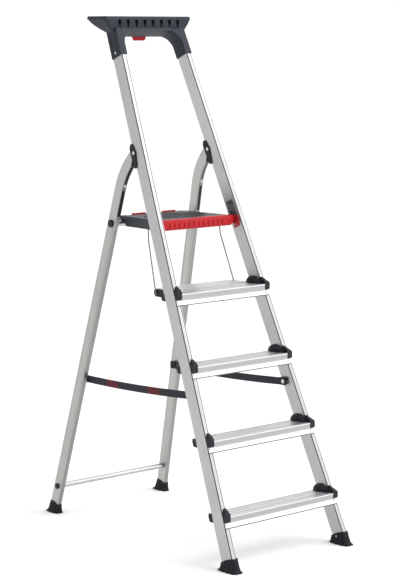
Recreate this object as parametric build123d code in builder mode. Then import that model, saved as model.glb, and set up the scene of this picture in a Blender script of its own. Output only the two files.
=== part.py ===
"""Platform step ladder: leaning front frame with treads, hinged rear frame, folding platform.

Millimetres. +Z is up, the climbing side faces -Y and +X is on the climber's right.
The origin is on the floor, midway between the front toes and the rear heels.
"""

import os
from math import atan, cos, hypot, radians, sin, tan

from build123d import *

os.makedirs("parts", exist_ok=True)

# ---------------------------------------------------------------- driving dimensions
base_depth = 1026.0  # front toe to rear heel on the floor
toe_overhang = 8.0  # front foot ahead of the stile's front face
tread_heights = [170.0, 395.0, 620.0, 845.0]
platform_height = 1070.0
tray_top = 1740.0
fit_gap = 0.3  # play between moulded parts and the extrusions they sit on
pin_play = 0.06  # radial play of a pin in its moving part

# front stiles
stile_lean = radians(23.39)
stile_depth, stile_width, stile_wall = 50.0, 20.0, 1.8
stile_half_foot = 257.8  # outer half width where the front face meets the floor
stile_taper = 0.0606  # inward run per millimetre along the stile
stile_low, stile_high = 31.0, 1846.0  # cut ends, measured along the stile

# rear legs
leg_lean = radians(14.27)
leg_depth, leg_width, leg_wall = 40.0, 18.0, 1.8
leg_half_foot, leg_taper = 254.3, 0.0649  # outer half width on the floor, inward run per rise
leg_floor_y = 477.5  # centre line where it meets the floor
leg_low = 13.0
bend_height, bend_radius, bend_end = 1165.0, 230.0, radians(36.0)

# folding geometry
hinge_along, hinge_depth = 1423.5, 44.0  # hinge pin: along the stile, and behind its front face
hinge_pin_radius = 3.5
fold_angle = stile_lean + leg_lean
platform_pivot = (-13.0, 1052.0)
deck_pivot_back, deck_pivot_drop = 64.5, 4.0  # from the top tread's front line and top
rod_offset = (62.0, -12.0)  # rod hole from each pivot
rod_radius = 2.2
deck_side_out, deck_side_thick = 170.0, 6.0  # outer face of the rear deck's side plates

# treads
tread_depth_back, nosing_reach, nosing_height = 60.0, 18.7, 20.0
skin, flange_drop, flange_thick = 2.4, 39.0, 2.2
cap_width = 19.0
groove_pitch, groove_width, groove_deep = 5.6, 2.2, 0.9

front_y = -base_depth / 2 + toe_overhang
lean_plane = Plane(
    origin=(0, front_y, 0), x_dir=(1, 0, 0), z_dir=(0, -cos(stile_lean), sin(stile_lean))
)


def stile_face(height):
    """Y of the stile's front face at a height."""
    return front_y + height * tan(stile_lean)


def stile_half(along):
    """Outer half width of the front frame at a distance along the stile."""
    return stile_half_foot - stile_taper * along


def half_at(height):
    """Outer half width of the front frame where its front face is at a height."""
    return stile_half(height / cos(stile_lean))


def lean_point(along, behind):
    """(Y, Z) of a point along the stile and behind its front face."""
    return (
        front_y + along * sin(stile_lean) + behind * cos(stile_lean),
        along * cos(stile_lean) - behind * sin(stile_lean),
    )


def leg_half(height):
    """Outer half width of the rear frame at a height."""
    return leg_half_foot - leg_taper * height


def leg_centre(height):
    """Y of the rear leg's centre line at a height."""
    return leg_floor_y - height * tan(leg_lean)


hinge_y, hinge_z = lean_point(hinge_along, hinge_depth)
leg_tilt = atan(leg_taper)
leg_plane = Plane(
    origin=(leg_half_foot, 0, 0), x_dir=(0, 1, 0), z_dir=(cos(leg_tilt), 0, sin(leg_tilt))
)
top_tread = tread_heights[-1]
deck_pivot = (stile_face(top_tread) + deck_pivot_back, top_tread - deck_pivot_drop)
cross_tube_at = (leg_centre(1046.0), 1046.0)
cross_tube_radius = 12.0
brace_at = (leg_centre(98.0), 98.0)
brace_radius = 9.0


# ---------------------------------------------------------------- helpers
def finish(part, name):
    """Labels a finished piece and writes it."""
    part.label = name
    export_step(part, f"parts/{name}.step")


def finish_pair(part, name):
    """Writes a right-hand piece and its mirrored left-hand twin."""
    finish(part, f"{name}_right")
    with BuildPart() as twin:
        mirror(part, about=Plane.YZ)
    finish(twin.part, f"{name}_left")


def prism(points, plane, depth, mode=Mode.ADD, round_at=(), radius=0.0):
    """Extrudes a polygon drawn on a plane; round_at picks corners to round."""
    with BuildSketch(plane) as outline:
        with BuildLine():
            Polyline(*points, close=True)
        make_face()
        if round_at:
            corners = [
                min(outline.vertices(), key=lambda v: hypot(v.X - points[i][0], v.Y - points[i][1]))
                for i in round_at
            ]
            fillet(corners, radius)
    extrude(outline.sketch, amount=depth, mode=mode)


def drum(centre, radius, x0, x1, mode=Mode.ADD):
    """A cylinder along X between x0 and x1, at (Y, Z)."""
    with BuildSketch(Plane.YZ.offset(min(x0, x1))) as disc:
        with Locations(centre):
            Circle(radius)
    extrude(disc.sketch, amount=abs(x1 - x0), mode=mode)


def side(x):
    """The vertical plane at x, drawn in (Y, Z)."""
    return Plane.YZ.offset(x)


def lean_band(low, high, grow=0.0, sign=1):
    """Outline of a stile on the lean plane, grown sideways."""
    outer_low, outer_high = stile_half(low) + grow, stile_half(high) + grow
    wide = stile_width + 2 * grow
    return [
        (sign * outer_low, low),
        (sign * outer_high, high),
        (sign * (outer_high - wide), high),
        (sign * (outer_low - wide), low),
    ]


def shifted(points, dy, dz):
    """The same outline moved in (Y, Z)."""
    return [(y + dy, z + dz) for y, z in points]


# ---------------------------------------------------------------- stiles
slot_below, slot_above = 26.0, 14.0
groove_inset = [4.0, 10.0, 16.0]

with BuildPart() as stile:
    prism(lean_band(stile_low, stile_high), lean_plane, -stile_depth)
    prism(
        lean_band(stile_low - 1, stile_high + 1, -stile_wall),
        lean_plane.offset(-stile_wall),
        -(stile_depth - 2 * stile_wall),
        Mode.SUBTRACT,
    )
    for inset in groove_inset:
        low_x, high_x = stile_half(stile_low) - inset, stile_half(stile_high) - inset
        prism(
            [
                (low_x - 0.5, stile_low),
                (low_x + 0.5, stile_low),
                (high_x + 0.5, stile_high),
                (high_x - 0.5, stile_high),
            ],
            lean_plane,
            -0.6,
            Mode.SUBTRACT,
        )
    prism(
        lean_band(hinge_along - slot_below, hinge_along + slot_above, -stile_wall),
        lean_plane.offset(-stile_depth + stile_wall + 1),
        -(stile_wall + 2),
        Mode.SUBTRACT,
    )
    drum((hinge_y, hinge_z), hinge_pin_radius, 140, 190, Mode.SUBTRACT)
    drum(platform_pivot, 5.0, 160, 172, Mode.SUBTRACT)
finish_pair(stile.part, "stile")


# ---------------------------------------------------------------- treads
slope = tan(stile_lean)
nosing = [
    (0, 0),
    (-nosing_reach, 0),
    (-nosing_reach, -nosing_height),
    (-nosing_height * slope, -nosing_height),
]
flange = [
    (-nosing_height * slope - flange_thick, -nosing_height),
    (-nosing_height * slope, -nosing_height),
    (-flange_drop * slope, -flange_drop),
    (-flange_drop * slope - flange_thick, -flange_drop),
]
deck_top = [(0, 0), (tread_depth_back, 0), (tread_depth_back, -skin), (-skin * slope, -skin)]
web_places = [20.0, 39.0, tread_depth_back - 1.2]


def tread_section(plane_x, at_y, at_z, outline, hollow):
    """A closed outline on a side plane with optional wall thickness and grooved top."""
    with BuildSketch(side(plane_x)) as section:
        with BuildLine():
            Polyline(*shifted(outline, at_y, at_z), close=True)
        make_face()
        if hollow:
            offset(amount=-2.0, kind=Kind.INTERSECTION, mode=Mode.SUBTRACT)
    return section.sketch


def cut_grooves(at_y, at_z, first, last, half_length):
    """Lengthwise anti-slip grooves in a top face."""
    count = int((last - first) / groove_pitch)
    for i in range(count + 1):
        y = at_y + first + i * groove_pitch
        with BuildSketch(side(-half_length)) as groove:
            with Locations((y, at_z)):
                Rectangle(groove_width, 2 * groove_deep)
        extrude(groove.sketch, amount=2 * half_length, mode=Mode.SUBTRACT)


def make_tread(number, height):
    at_y = stile_face(height)
    outer = half_at(height)
    inner = outer - stile_width + 1.0
    nosing_half = outer - cap_width - fit_gap
    flange_half = outer - 1.0
    with BuildPart() as tread:
        extrude(tread_section(-nosing_half, at_y, height, nosing, True), amount=2 * nosing_half)
        extrude(tread_section(-flange_half, at_y, height, flange, False), amount=2 * flange_half)
        extrude(tread_section(-inner, at_y, height, deck_top, False), amount=2 * inner)
        for place in web_places:
            drop = 22.0 if place > 50 else 12.0
            web = [
                (place - 1.2, -skin),
                (place + 1.2, -skin),
                (place + 1.2, -drop),
                (place - 1.2, -drop),
            ]
            prism(shifted(web, at_y, height), side(-inner), 2 * inner)
        cut_grooves(at_y, height, 4.0, tread_depth_back - 4, outer)
        cut_grooves(at_y, height, -nosing_reach + 4.5, -6.0, outer)
        for sign in (-1, 1):
            band = lean_band(0, stile_high, fit_gap, sign)
            prism(band, lean_plane, -stile_depth - 30, Mode.SUBTRACT)
            rivet_y, rivet_z = at_y - 27 * slope, height - 27
            with BuildSketch(
                Plane(origin=(sign * (outer - 8.4), rivet_y, rivet_z), z_dir=lean_plane.z_dir)
            ) as hole:
                Circle(2.4)
            extrude(hole.sketch, amount=4, both=True, mode=Mode.SUBTRACT)
    finish(tread.part, f"tread_{number}")


cap_front = [
    (22 * slope, 22.0),
    (2.0, 21.0),
    (-19.3, 6.8),
    (-20.2, -14.0),
    (-16.5, -19.6),
    (-19.6 * slope, -19.6),
]
curb = [(-5.0, 0.2), (-5.0, 13.0), (6.0, 17.0), (14.0, 17.0), (14.0, 0.2)]
dome_reach, dome_half_length, dome_rise = 23.0, 34.0, 22.5
dome_centre = 36.0  # behind the stile's front face
side_lobe = [(52.3, -4.0), (66.0, -4.0), (66.0, -16.0), (60.0, -29.0), (42.0, -30.0)]

with BuildPart() as dome_blank:
    Sphere(1.0)
    scale(by=(dome_reach, dome_half_length, dome_rise))
    with Locations((dome_reach + 4, 0, 0)):
        Box(2 * dome_reach, 100, 100, mode=Mode.SUBTRACT)


def make_cap(number, height):
    """Right-hand end cap: nosing block, ribbed dome on the tread, lobe behind the stile."""
    at_y, outer = stile_face(height), half_at(height)
    inner = outer - stile_width
    neck_in = inner - 8.0
    top = number == len(tread_heights)
    neck_back = 72.0 if top else 66.0
    neck = [
        (60.4, 5.0),
        (neck_back - 2, 4.0),
        (neck_back, 0.0),
        (neck_back, -18.0),
        (62.0, -26.0),
        (60.4, -26.0),
    ]
    with BuildPart() as cap:
        prism(
            shifted(cap_front, at_y - 0.2, height),
            side(outer - cap_width),
            cap_width + 0.6,
            round_at=(1, 2, 3, 4),
            radius=2.0,
        )
        shoulder = [(outer + 1, height + 3), (outer - 14, height + 23), (outer + 1, height + 23)]
        prism(shoulder, Plane.XZ.offset(-at_y - 12), 40, Mode.SUBTRACT)
        prism(shifted(curb, at_y - 0.2, height), side(inner - 4.0), 5.0 + 0.3)
        with Locations((inner - 0.3, at_y + dome_centre, height + 0.2)):
            add(dome_blank.part)
        clear = [(inner - 60, at_y - 25), (inner - 4.2, at_y - 25), (inner - 24, at_y + 44)]
        prism([*clear, (inner - 60, at_y + 44)], Plane.XY.offset(height - 40), 80, Mode.SUBTRACT)
        under = [(-25.0, 0.2), (80.0, 0.2), (80.0, -40.0), (-25.0, -40.0)]
        prism(shifted(under, at_y, height), side(inner - 40), 40.9, Mode.SUBTRACT)
        prism(shifted(neck, at_y, height), side(neck_in), 8.3)
        lobe = shifted(side_lobe, at_y, height)
        prism(lobe, side(inner), stile_width + 0.6, round_at=(2, 3), radius=3.0)
        band = lean_band(0, stile_high + 50, fit_gap)
        prism(band, lean_plane.offset(fit_gap), -stile_depth - 2 * fit_gap, Mode.SUBTRACT)
        if top:
            # room for the rear deck's side as it swings up
            swept = shifted([(-4.6, 0), (20, 0), (20, 30), (-4.6, 30)], deck_pivot[0], height)
            prism(swept, side(deck_side_out + 0.4), -40, Mode.SUBTRACT)
            drum(deck_pivot, 2.5, neck_in - 1, inner + 1, Mode.SUBTRACT)
    finish_pair(cap.part, f"tread_{number}_cap")


for number, height in enumerate(tread_heights, start=1):
    make_tread(number, height)
    make_cap(number, height)


def lean_disc(x, y, z, radius, thick, mode=Mode.ADD):
    """A short cylinder standing on the stile's front face."""
    with BuildSketch(Plane(origin=(x, y, z), z_dir=lean_plane.z_dir)) as disc:
        Circle(radius)
    extrude(disc.sketch, amount=thick, mode=mode)


with BuildPart() as tread_rivets:
    for height in tread_heights:
        for sign in (-1, 1):
            x = sign * (half_at(height) - 8.4)
            y = stile_face(height) - 27 * slope - flange_thick * cos(stile_lean)
            z = height - 27 + flange_thick * sin(stile_lean)
            lean_disc(x, y, z, 4.4, 1.6)
            lean_disc(x, y, z, 2.4, -flange_thick)
finish(tread_rivets.part, "tread_rivets")


# ---------------------------------------------------------------- top tray
sleeve_low, arch_top = 1759.6, 1843.6
sleeve_skin = 2.7
rim_low = 1729.0
rim_half, rim_front, rim_back = 190.0, 235.0, 342.0
rim_draft = 15.0  # degrees, the rim leans in towards its top
flare = [  # height, half width and back edge of each section below the rim
    (1684.0, 150.0, 282.0),
    (1698.0, 164.0, 304.0),
    (1712.0, 175.0, 324.0),
    (1729.5, 186.0, 338.0),
]
arch_radius = 50.0
pillar_pitch = 36.0


def plan_box(half, y0, y1, z0, z1, radius, mode=Mode.ADD):
    """An upright box with rounded corners, symmetric in X."""
    with BuildSketch(Plane.XY.offset(z0)) as base:
        with Locations((0, (y0 + y1) / 2)):
            RectangleRounded(2 * half, y1 - y0, radius)
    extrude(base.sketch, amount=z1 - z0, mode=mode)


hook_pin_at = (291.0, 1678.0)

with BuildPart() as tray:
    # header and sleeves, following the stiles
    edge_low = stile_half(sleeve_low) + sleeve_skin
    edge_high = stile_half(1890) + sleeve_skin
    prism(
        [(-edge_low, sleeve_low), (edge_low, sleeve_low), (edge_high, 1890), (-edge_high, 1890)],
        lean_plane.offset(sleeve_skin),
        -stile_depth - 2 * sleeve_skin,
    )
    # flare out to the rim
    outlines = []
    for z, half, back in flare:
        with BuildSketch(Plane.XY.offset(z)) as outline:
            with Locations((0, (rim_front + back) / 2)):
                RectangleRounded(2 * half, back - rim_front, 8)
        outlines.append(outline.sketch)
    loft(sections=outlines)
    with BuildSketch(Plane.XY.offset(rim_low)) as rim:
        with Locations((0, (rim_front + rim_back) / 2)):
            RectangleRounded(2 * rim_half, rim_back - rim_front, 12)
    extrude(rim.sketch, amount=tray_top - rim_low, taper=rim_draft)
    for sign in (-1, 1):
        lug = [(279, 1674), (285, 1692), (298, 1694), (297, 1676), (291, 1671.5)]
        prism(lug, side(sign * 39.5 - 3), 6)
    # trim what stands above the rim
    plan_box(300, 100, 500, tray_top, tray_top + 60, 5, Mode.SUBTRACT)
    plan_box(300, 100, rim_front, 1702, 1800, 5, Mode.SUBTRACT)
    # arch between the sleeves
    gap_low = stile_half(1700) - stile_width - sleeve_skin
    gap_high = stile_half(arch_top) - stile_width - sleeve_skin
    prism(
        [(-gap_low, 1700), (gap_low, 1700), (gap_high, arch_top), (-gap_high, arch_top)],
        lean_plane.offset(60),
        -170,
        Mode.SUBTRACT,
        round_at=(2, 3),
        radius=arch_radius,
    )
    # basin: a wide shelf with a deeper well
    plan_box(rim_half - 9, rim_front + 9, rim_back - 9, 1731, tray_top + 1, 8, Mode.SUBTRACT)
    plan_box(120, 257, 300, 1706, 1732, 8, Mode.SUBTRACT)
    for sign in (-1, 1):
        band = lean_band(sleeve_low - 5, stile_high + 0.5, fit_gap, sign)
        prism(band, lean_plane.offset(fit_gap), -stile_depth - 2 * fit_gap, Mode.SUBTRACT)
    # recesses between the nine front pillars
    for i in range(-4, 4):
        x = (i + 0.5) * pillar_pitch
        foot = 1846 if abs(x) > 100 else 1853
        recess = [
            (x - 1.2, foot),
            (x + 1.2, foot),
            (x + 4.0, 1863),
            (x + 6.5, 1867),
            (x + 6.5, 1881.5),
            (x - 6.5, 1881.5),
            (x - 6.5, 1867),
            (x - 4.0, 1863),
        ]
        prism(recess, lean_plane.offset(10), -16, Mode.SUBTRACT)
    # lengthwise flutes on the outside of the sleeves
    for sign in (-1, 1):
        for behind in (11, 39):
            flute = [
                (sign * (edge_low - 1.2), sleeve_low - 1),
                (sign * (edge_low + 6), sleeve_low - 1),
                (sign * (edge_high + 6), 1834),
                (sign * (edge_high + 1.6), 1834),
            ]
            prism(flute, lean_plane.offset(-behind), -2.5, Mode.SUBTRACT)
    drum(hook_pin_at, 2.5, -44, 44, Mode.SUBTRACT)
finish(tray.part, "top_tray")

with BuildPart() as tray_rivets:
    rivet_along = sleeve_low + 14
    at = lean_point(rivet_along, 26)
    for sign in (-1, 1):
        x = stile_half(rivet_along) + sleeve_skin
        drum(at, 4.2, sign * (x + 0.3), sign * (x + 2.0))
finish(tray_rivets.part, "tray_rivets")

hook_drop = 20.0
with BuildPart() as bucket_hook:
    with BuildSketch(Plane.XZ.offset(-hook_pin_at[0] - 3)) as plate:
        with BuildLine():
            z_high, z_low = hook_pin_at[1] + 5, hook_pin_at[1] - hook_drop
            Polyline((-35, z_high), (35, z_high), (23, z_low), (-23, z_low), close=True)
        make_face()
        fillet(plate.vertices().group_by(Axis.Y)[0], 4)
    extrude(plate.sketch, amount=6)
    drum(hook_pin_at, 5.0, -35, 35)
    drum(hook_pin_at, 2.5 + pin_play, -36, 36, Mode.SUBTRACT)
finish(bucket_hook.part, "bucket_hook")

with BuildPart() as hook_pin:
    drum(hook_pin_at, 2.5, -42.5, 42.5)
finish(hook_pin.part, "bucket_hook_pin")


# ---------------------------------------------------------------- hinge plates and pins
plate_thick = 3.0
hinge_plate_rounds = [(25, 6, 9), (18, 10, 9), (0, 0, 8), (-43, 8, 8.5)]  # along, behind, radius
edge_dir = Vector(-stile_taper, sin(stile_lean), cos(stile_lean)).normalized()
face_dir = edge_dir.cross(Vector(0, -cos(stile_lean), sin(stile_lean)))
hinge_half = stile_half(hinge_along)

with BuildPart() as hinge_plates:
    for x, amount in ((hinge_half, plate_thick), (hinge_half - stile_width, -plate_thick)):
        flat = Plane(origin=(x, hinge_y, hinge_z), x_dir=edge_dir, z_dir=face_dir)
        with BuildSketch(flat) as plate:
            for along, behind, radius in hinge_plate_rounds:
                with Locations((along, -behind)):
                    Circle(radius)
            make_hull()
        extrude(plate.sketch, amount=amount)
    drum((hinge_y, hinge_z), hinge_pin_radius, 140, 190, Mode.SUBTRACT)
finish_pair(hinge_plates.part, "hinge_plates")

pin_in, pin_out = hinge_half - stile_width - plate_thick - 0.6, hinge_half + plate_thick + 0.6
with BuildPart() as hinge_pin:
    drum((hinge_y, hinge_z), hinge_pin_radius, pin_in, pin_out)
    drum((hinge_y, hinge_z), 6.0, pin_out, pin_out + 2)
    drum((hinge_y, hinge_z), 6.0, pin_in - 2, pin_in)
finish_pair(hinge_pin.part, "hinge_pin")


# ---------------------------------------------------------------- rear legs
bend_y, bend_z = leg_centre(bend_height), bend_height
arc_y = bend_y - bend_radius * cos(leg_lean)
arc_z = bend_z - bend_radius * sin(leg_lean)
rise = 1 / cos(leg_tilt)  # heights as seen on the tilted leg plane


def leg_axis(height, across):
    """Point on the straight leg, across its depth (positive is to the rear)."""
    return (
        leg_centre(height) + across * cos(leg_lean),
        (height + across * sin(leg_lean)) * rise,
    )


def arc_spot(radius, turn):
    """Point on the bend at a turn from where it starts."""
    return (
        arc_y + radius * cos(leg_lean + turn),
        (arc_z + radius * sin(leg_lean + turn)) * rise,
    )


def leg_band(half_depth, start, end_turn, plane, amount, mode=Mode.ADD):
    """Leg outline: straight run then bend, of a given half depth."""
    near, far = bend_radius - half_depth, bend_radius + half_depth
    with BuildSketch(plane) as band:
        with BuildLine():
            Line(leg_axis(start, -half_depth), arc_spot(near, 0))
            ThreePointArc(arc_spot(near, 0), arc_spot(near, end_turn / 2), arc_spot(near, end_turn))
            Line(arc_spot(near, end_turn), arc_spot(far, end_turn))
            ThreePointArc(arc_spot(far, end_turn), arc_spot(far, end_turn / 2), arc_spot(far, 0))
            Line(arc_spot(far, 0), leg_axis(start, half_depth))
            Line(leg_axis(start, half_depth), leg_axis(start, -half_depth))
        make_face()
    extrude(band.sketch, amount=amount, mode=mode)


def clear_of_stile():
    """Removes what would meet the stile's rear face, open or folded."""
    keep = stile_depth - hinge_depth + 1.0
    for turn in (-stile_lean, leg_lean):
        back, up = (cos(turn), sin(turn)), (-sin(turn), cos(turn))
        corners = [(keep, -70), (keep, 70), (-80, 70), (-80, -70)]
        turned = [(b * back[0] + u * up[0], b * back[1] + u * up[1]) for b, u in corners]
        prism(shifted(turned, hinge_y, hinge_z), side(120), 80, Mode.SUBTRACT)


with BuildPart() as leg:
    leg_band(leg_depth / 2, leg_low, bend_end, leg_plane, -leg_width)
    leg_band(
        leg_depth / 2 - leg_wall,
        leg_low - 2,
        bend_end + 0.02,
        leg_plane.offset(-leg_wall),
        -(leg_width - 2 * leg_wall),
        Mode.SUBTRACT,
    )
    clear_of_stile()
    drum(cross_tube_at, cross_tube_radius, 150, 210, Mode.SUBTRACT)
    drum(brace_at, brace_radius, 210, 270, Mode.SUBTRACT)
finish_pair(leg.part, "rear_leg")

knuckle_side = 2.7
with BuildPart() as knuckle:
    plug_half = leg_depth / 2 - leg_wall - 0.3
    near, far = bend_radius - plug_half, bend_radius + plug_half
    with BuildSketch(leg_plane.offset(-knuckle_side)) as plug:
        with BuildLine():
            low, mid, high = radians(19), radians(28), radians(38)
            ThreePointArc(arc_spot(near, low), arc_spot(near, mid), arc_spot(near, high))
            Line(arc_spot(near, high), arc_spot(far, high))
            ThreePointArc(arc_spot(far, high), arc_spot(far, mid), arc_spot(far, low))
            Line(arc_spot(far, low), arc_spot(near, low))
        make_face()
    extrude(plug.sketch, amount=-(leg_width - 2 * knuckle_side))
    clear_of_stile()
    with BuildSketch(leg_plane.offset(-knuckle_side)) as tongue:
        with BuildLine():
            Polyline(
                arc_spot(bend_radius - 8, radians(28)),
                arc_spot(bend_radius - 8, radians(37.5)),
                arc_spot(bend_radius + 8, radians(37.5)),
                arc_spot(bend_radius + 8, radians(28)),
                close=True,
            )
        make_face()
        with Locations((hinge_y, hinge_z * rise)):
            Circle(10.5)
    extrude(tongue.sketch, amount=-(leg_width - 2 * knuckle_side))
    drum((hinge_y, hinge_z), hinge_pin_radius + pin_play, 140, 190, Mode.SUBTRACT)
finish_pair(knuckle.part, "hinge_knuckle")

with BuildPart() as strip:
    low, high = 1076.0, 1164.0
    front = -leg_depth / 2
    outline = [
        leg_axis(low, front),
        leg_axis(high, front),
        leg_axis(high, front - 1.4),
        leg_axis(low, front - 1.4),
    ]
    prism(outline, leg_plane.offset(-4.5), -9)
finish_pair(strip.part, "leg_strip")


def tube_between(centre, radius, wall, half, name):
    with BuildPart() as tube:
        drum(centre, radius, -half, half)
        drum(centre, radius - wall, -half - 1, half + 1, Mode.SUBTRACT)
    finish(tube.part, name)


def tube_plugs(centre, radius, wall, half, name):
    """Round plugs in both ends of a tube."""
    with BuildPart() as plugs:
        for sign in (-1, 1):
            drum(centre, radius + 1.4, sign * half, sign * (half + 3.2))
            drum(centre, radius - wall - 0.1, sign * (half - 12), sign * half)
        fillet(plugs.edges().filter_by(GeomType.CIRCLE).group_by(Axis.X)[-1], 1.2)
        fillet(plugs.edges().filter_by(GeomType.CIRCLE).group_by(Axis.X)[0], 1.2)
    finish(plugs.part, name)


cross_half = leg_half(cross_tube_at[1]) + 1.2
brace_half = leg_half(brace_at[1]) + 1.0
tube_between(cross_tube_at, cross_tube_radius, 1.5, cross_half, "cross_tube")
tube_between(brace_at, brace_radius, 1.3, brace_half, "lower_brace")
tube_plugs(cross_tube_at, cross_tube_radius, 1.5, cross_half, "cross_tube_plugs")
tube_plugs(brace_at, brace_radius, 1.3, brace_half, "lower_brace_plugs")


# ---------------------------------------------------------------- feet
def make_foot(name, x_low, y_low, x_high, y_high, top_plane, socket):
    """A boot lofted from its footprint to an outline across the tube, with a socket."""
    with BuildPart() as foot:
        with BuildSketch(Plane.XY.offset(7)) as sole:
            with Locations(((x_low[0] + x_low[1]) / 2, (y_low[0] + y_low[1]) / 2)):
                RectangleRounded(x_low[1] - x_low[0], y_low[1] - y_low[0], 7)
        with BuildSketch(top_plane) as mouth:
            with Locations(((x_high[0] + x_high[1]) / 2, (y_high[0] + y_high[1]) / 2)):
                RectangleRounded(x_high[1] - x_high[0], y_high[1] - y_high[0], 4)
        loft(sections=[sole.sketch, mouth.sketch])
        extrude(sole.sketch, amount=-7)
        socket()
    finish_pair(foot.part, name)


def stile_socket():
    prism(
        lean_band(stile_low - 0.5, 200, fit_gap),
        lean_plane.offset(fit_gap),
        -stile_depth - 2 * fit_gap,
        Mode.SUBTRACT,
    )


def leg_socket():
    leg_band(
        leg_depth / 2 + fit_gap,
        leg_low - 0.5,
        0.01,
        leg_plane.offset(fit_gap),
        -leg_width - 2 * fit_gap,
        Mode.SUBTRACT,
    )


front_mouth_along = 46.0
front_mouth_y, front_mouth_z = lean_point(front_mouth_along, 0)
front_mouth = Plane(
    origin=(0, front_mouth_y, front_mouth_z),
    x_dir=(1, 0, 0),
    z_dir=(0, sin(stile_lean), cos(stile_lean)),
)
front_out = stile_half(front_mouth_along)
make_foot(
    "front_foot",
    (216.0, 261.0),
    (-513.0, -421.0),
    (front_out - stile_width - 4, front_out + 2.6),
    (-3.2, stile_depth + 5.0),
    front_mouth,
    stile_socket,
)

rear_mouth_height = 36.0
rear_mouth = Plane(
    origin=(0, leg_centre(rear_mouth_height), rear_mouth_height),
    x_dir=(1, 0, 0),
    z_dir=(0, -sin(leg_lean), cos(leg_lean)),
)
rear_out = leg_half(rear_mouth_height)
make_foot(
    "rear_foot",
    (225.0, 259.0),
    (438.0, 513.0),
    (rear_out - leg_width - 3, rear_out + 2.6),
    (-leg_depth / 2 - 4, leg_depth / 2 + 4),
    rear_mouth,
    leg_socket,
)


# ---------------------------------------------------------------- platform
panel_front, panel_back = 0.4, 210.0
panel_half_front, panel_half_back = 155.0, 143.0
skirt_low = platform_height - 34
bar_front, bar_back, bar_half = -24.0, 0.0, 165.2
panel_profile = [
    (panel_front, platform_height),
    (panel_back, platform_height),
    (panel_back, cross_tube_at[1] + cross_tube_radius + 0.8),
    (194.0, cross_tube_at[1] + cross_tube_radius + 0.8),
    (185.0, skirt_low),
    (panel_front + 6, skirt_low),
    (panel_front, skirt_low + 6),
]
rod_hole = (platform_pivot[0] + rod_offset[0], platform_pivot[1] + rod_offset[1])


def panel_half(y):
    """Half width of the platform panel at a depth."""
    share = (y - panel_front) / (panel_back - panel_front)
    return panel_half_front + share * (panel_half_back - panel_half_front)


def tapered(y0, y1, inset, z0, z1, mode):
    """A prism between heights, its sides parallel to the panel's."""
    points = [
        (-panel_half(y0) + inset, y0),
        (panel_half(y0) - inset, y0),
        (panel_half(y1) - inset, y1),
        (-panel_half(y1) + inset, y1),
    ]
    prism(points, Plane.XY.offset(z0), z1 - z0, mode)


with BuildPart() as panel:
    prism(panel_profile, side(-200), 400)
    tapered(-50, 300, 0, 1000, 1100, Mode.INTERSECT)
    fillet(panel.edges().filter_by(Plane.XY).group_by(Axis.Z)[-1], 1.5)
    # hollow underside, leaving skirts, cross ribs and the front wall
    for y0, y1 in ((4.0, 64.0), (67.0, 127.0), (130.0, 182.0)):
        tapered(y0, y1, 4.0, skirt_low - 1, platform_height - 5.5, Mode.SUBTRACT)
    # shallow oval standing surface
    with BuildSketch(Plane.XY.offset(platform_height - 2.2)) as oval:
        with Locations((0, 98)):
            Ellipse(122, 80)
    extrude(oval.sketch, amount=5, mode=Mode.SUBTRACT)
    # grip ribs on the standing surface
    for i in range(-8, 9):
        rib_y = 98 + i * 8.5
        reach = 118 * (1 - ((rib_y - 98) / 80.0) ** 2) ** 0.5
        with BuildSketch(Plane.XY.offset(platform_height - 2.4)) as rib:
            with Locations((0, rib_y)):
                SlotOverall(2 * reach - 8, 3.2)
        extrude(rib.sketch, amount=1.7)
    drum(rod_hole, rod_radius + 0.15, -160, 160, Mode.SUBTRACT)
finish(panel.part, "platform_panel")

with BuildPart() as bar:
    bar_low, bar_high = 1036.0, 1071.0
    bar_profile = [
        (bar_front, bar_low + 4),
        (bar_front, bar_high - 5),
        (bar_front + 6, bar_high),
        (bar_back - 3, bar_high),
        (bar_back, bar_high - 4),
        (bar_back, bar_low),
        (bar_front + 4, bar_low),
    ]
    prism(bar_profile, side(-bar_half), 2 * bar_half, round_at=(1, 2), radius=2.5)
    fillet(bar.edges().filter_by(Axis.Z).group_by(Axis.Y)[0], 6)
    pad = [
        (bar_front - 2.0, bar_low + 5),
        (bar_front - 2.0, bar_high - 12),
        (bar_front + 1, bar_high - 9),
        (bar_front + 1, bar_low + 5),
    ]
    for i in range(-6, 6):
        prism(pad, side((i + 0.5) * 21.0 - 7.0), 14.0)
    # room for the rods when folded
    for sign in (-1, 1):
        with Locations((sign * (bar_half - 7.5), (bar_front + bar_back) / 2, bar_low)):
            Box(17, 40, 15, mode=Mode.SUBTRACT)
    drum(platform_pivot, 5.0 + pin_play, 148, 170, Mode.SUBTRACT)
    drum(platform_pivot, 5.0 + pin_play, -170, -148, Mode.SUBTRACT)
finish(bar.part, "platform_front_bar")

with BuildPart() as handle:
    handle_profile = [
        (panel_back + 0.1, 1060.5),
        (panel_back + 4, 1060.5),
        (panel_back + 6, 1064),
        (panel_back + 5, 1075),
        (panel_back + 0.1, 1075),
    ]
    prism(handle_profile, side(-95), 190, round_at=(3,), radius=1.5)
    dip_low, dip_high = 1071.5, 1080
    dip = [
        (panel_back - 1, dip_low),
        (panel_back + 8, dip_low),
        (panel_back + 8, dip_high),
        (panel_back - 1, dip_high),
    ]
    prism(dip, side(-38), 76, Mode.SUBTRACT)
finish(handle.part, "platform_handle")

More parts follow.
